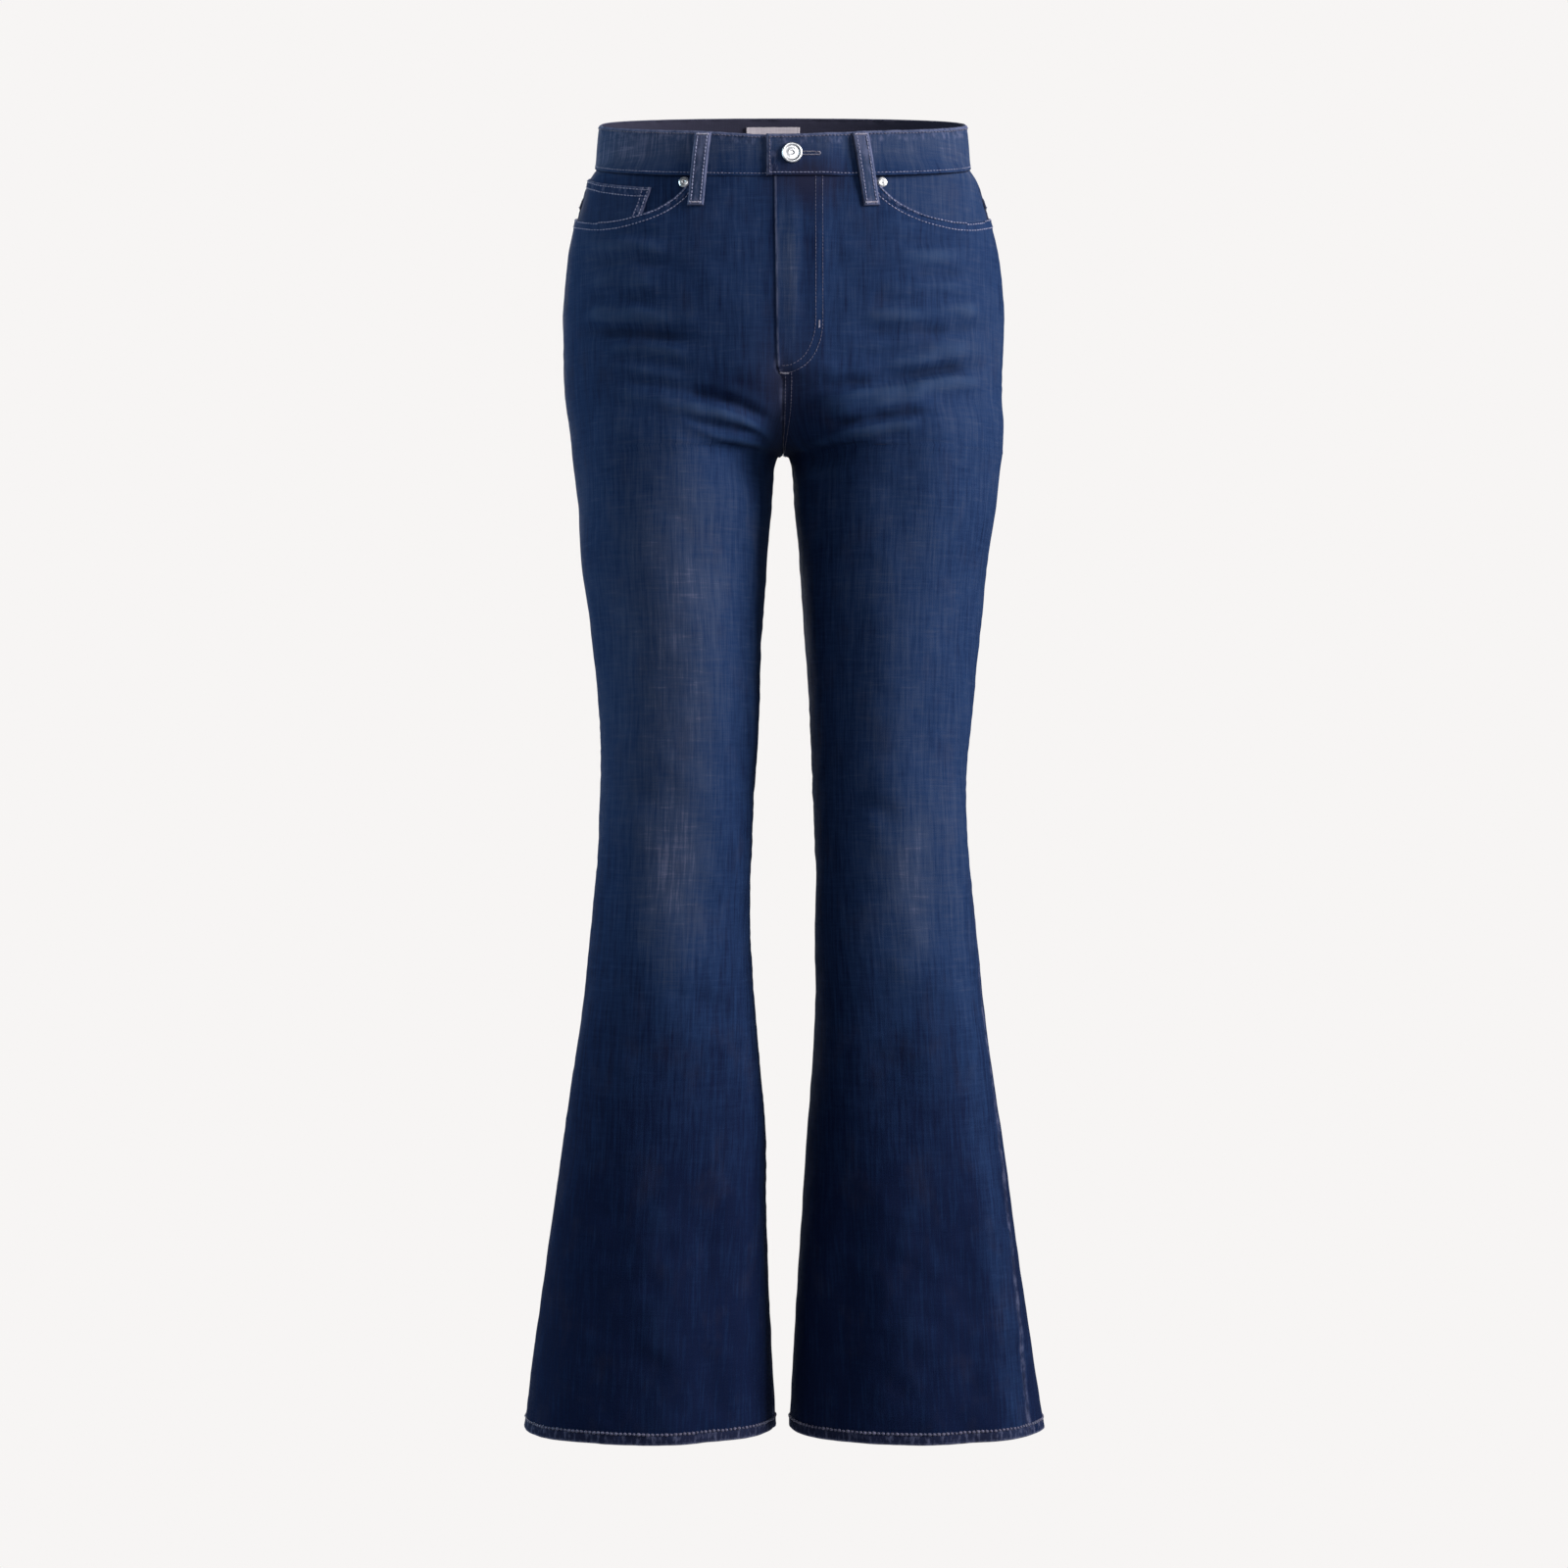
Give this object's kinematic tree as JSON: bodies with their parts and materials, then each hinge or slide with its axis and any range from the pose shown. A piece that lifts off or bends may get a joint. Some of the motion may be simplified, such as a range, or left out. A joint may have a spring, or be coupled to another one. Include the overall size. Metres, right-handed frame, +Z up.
{
  "type": "flared jeans",
  "caption": "High-rise flared denim jeans filled out as if worn, with hollow legs, open waist and hems, pockets, fly, belt loops and a shank button.",
  "frame": {"origin": "middle of the waist opening, halfway up the waistband at the side seams, where a wearer holds the jeans up", "axes": "+Z up along the legs' length, towards the waist; the front faces -Y; the wearer's left is +X"},
  "size_m": [0.4378, 0.2154, 1.1227],
  "materials": {
    "denim": "dark blue washed twill denim with slubs, paler at thighs and knees",
    "denim_trim": "blue washed denim strip with worn edges",
    "pocketing": "plain undyed cotton twill",
    "zip": "navy woven tape with a metal chain",
    "label": "pale woven satin, bare",
    "nickel": "bright nickel plate",
    "thread": "muted mauve-tan topstitching thread"
  },
  "bodies": {
    "root": {"front_right": "denim", "front_left": "denim", "back_right": "denim", "back_left": "denim", "yoke_right": "denim", "yoke_left": "denim", "waistband": "denim", "pocket_facing_right": "denim", "pocket_facing_left": "denim", "coin_pocket": "denim", "fly_shield": "denim", "back_pocket_right": "denim", "back_pocket_left": "denim", "belt_loop_front_right": "denim_trim", "belt_loop_front_left": "denim_trim", "belt_loop_back_right": "denim_trim", "belt_loop_back_left": "denim_trim", "belt_loop_centre_back": "denim_trim", "pocket_bag_right": "pocketing", "pocket_bag_left": "pocketing", "zip": "zip", "waist_label": "label", "button": "nickel", "rivet_right": "nickel", "rivet_left": "nickel"}
  },
  "joints": []
}
